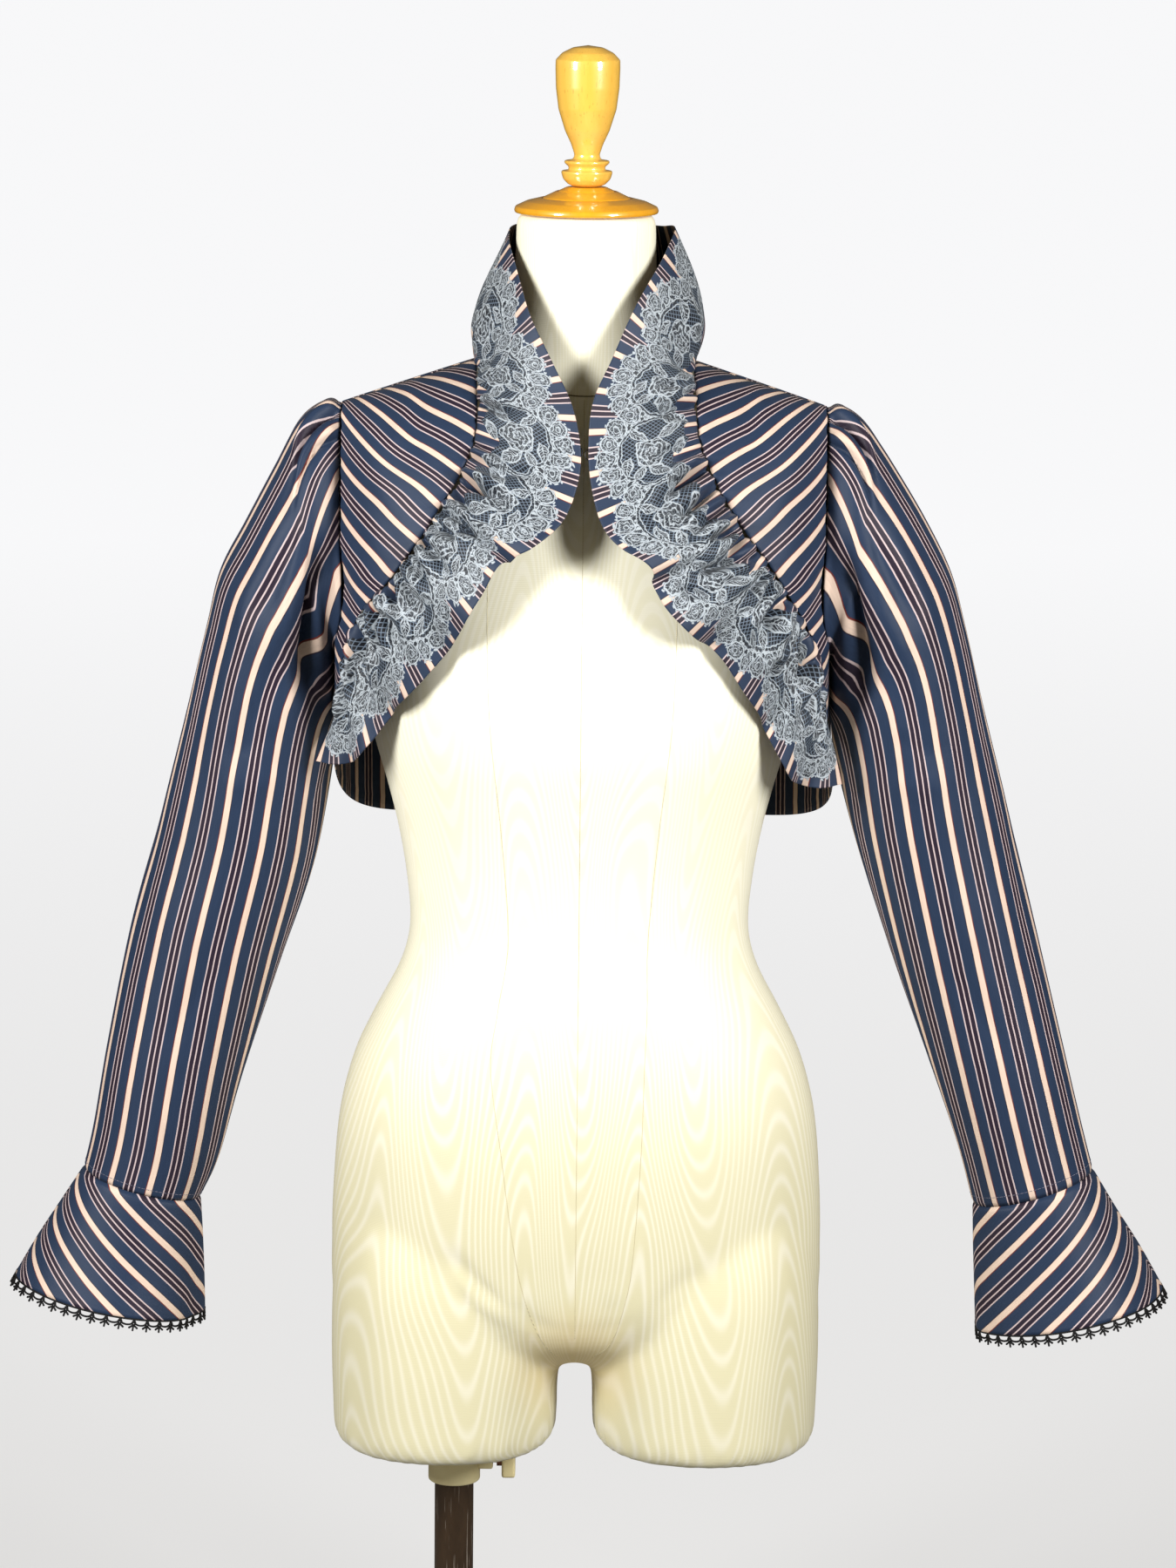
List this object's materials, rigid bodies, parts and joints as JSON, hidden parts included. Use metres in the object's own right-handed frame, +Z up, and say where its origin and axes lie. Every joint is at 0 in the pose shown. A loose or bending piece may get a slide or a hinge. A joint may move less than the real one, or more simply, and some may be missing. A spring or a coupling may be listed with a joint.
{
  "type": "lace-print bolero jacket on a dress form",
  "caption": "Cropped striped bolero jacket with a gathered lace-print frill collar and flared cuffs, worn by a limbless dress form on a pole stand.",
  "frame": {"origin": "middle of the underside of the round stand base, straight below the middle of the dress form", "axes": "+Z up, -Y the way the form faces, +X towards the wearer's left sleeve"},
  "size_m": [0.7991, 0.344, 1.332],
  "materials": {
    "form_cover": "ribbed cotton faille with a watermark, pale cream",
    "cap_wood": "turned beech, orange gloss varnish",
    "knob_wood": "turned beech, yellow gloss varnish",
    "base_metal": "dark brown satin enamel",
    "pole_metal": "worn dark brown tube with fine scratches",
    "socket_plastic": "moulded cream plastic",
    "stripe_cloth": "yarn-dyed navy and cream striped satin weave",
    "lace_print_cloth": "striped satin weave printed with a blue-grey lace picture of flowers and net",
    "black_lace": "black cotton scalloped edging",
    "fastener_wire": "black lacquered wire"
  },
  "bodies": {
    "base": {"stand_base": "base_metal"},
    "pole": {"stand_pole": "pole_metal"},
    "form": {"form_torso": "form_cover", "neck_cap": "cap_wood", "knob": "knob_wood", "stand_socket": "socket_plastic", "back": "stripe_cloth", "front_left": "stripe_cloth", "front_right": "stripe_cloth", "frill_left": "lace_print_cloth", "frill_right": "lace_print_cloth", "sleeve_left": "stripe_cloth", "sleeve_right": "stripe_cloth", "cuff_left": "stripe_cloth", "cuff_right": "stripe_cloth", "cuff_lace_left": "black_lace", "cuff_lace_right": "black_lace", "eye": "fastener_wire", "hook": "fastener_wire"},
    "clamp": {"stand_screw": "socket_plastic"}
  },
  "joints": [
    {"name": "pole_turn", "type": "hinge", "parent": "base", "child": "pole", "pos_m": [-0.083, 0, 0.02], "axis": [0, 0, 1], "continuous": true},
    {"name": "form_height", "type": "slide", "parent": "pole", "child": "form", "axis": [0, 0, 1], "range_m": [0, 0.12]},
    {"name": "screw_turn", "type": "hinge", "parent": "form", "child": "clamp", "pos_m": [-0.055, 0, 0.358], "axis": [1, 0, 0], "range_deg": [0, 360]}
  ]
}
